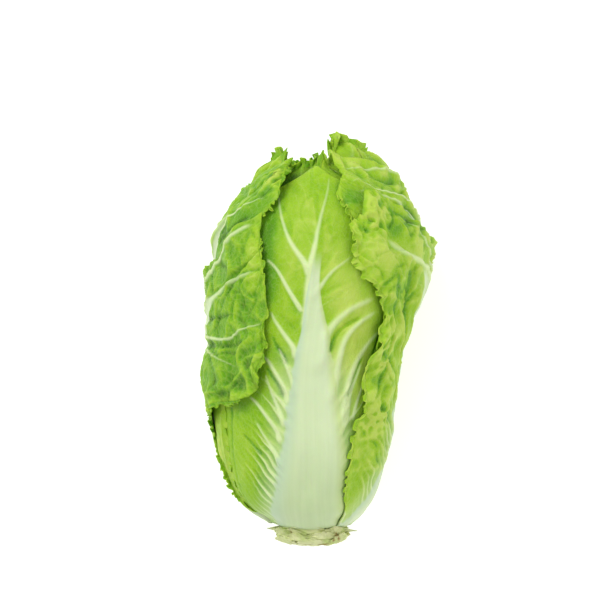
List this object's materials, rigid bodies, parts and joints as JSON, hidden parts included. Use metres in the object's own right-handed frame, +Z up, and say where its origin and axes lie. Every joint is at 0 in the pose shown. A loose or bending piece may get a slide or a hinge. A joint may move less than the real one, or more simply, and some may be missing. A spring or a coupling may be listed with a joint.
{
  "type": "napa cabbage",
  "caption": "Whole napa cabbage head lying on its side: an oblong barrel of overlapping crinkled green leaves with broad pale ribs, over a yellow heart, and a short cut stem",
  "frame": {"origin": "a point near the middle of the flat spot on the underside of the back leaf that the head lies on, at floor level", "axes": "+Z is up, +Y runs along the head from the cut stem towards the leaf tips, +X is to the right when looking down on the head with the tips at the top"},
  "size_m": [0.1715, 0.3037, 0.1511],
  "materials": {
    "leaf_green": "thin crinkled leaf blade with a soft sheen, paler along the rib",
    "heart_yellow": "soft pale yellow-green young leaf, matt",
    "stem_cream": "moist cut stem, pale cream green, matt with dry brown flecks"
  },
  "bodies": {
    "root": {"heart": "heart_yellow", "stem": "stem_cream", "leaf_inner_1": "leaf_green", "leaf_inner_2": "leaf_green", "leaf_inner_3": "leaf_green", "leaf_inner_4": "leaf_green", "leaf_inner_5": "leaf_green", "leaf_inner_6": "leaf_green", "leaf_inner_7": "leaf_green", "leaf_back_left": "leaf_green", "leaf_back_right": "leaf_green", "leaf_front": "leaf_green", "leaf_upper_right": "leaf_green", "leaf_upper_left": "leaf_green", "leaf_left": "leaf_green", "leaf_right": "leaf_green", "leaf_back": "leaf_green"}
  },
  "joints": []
}
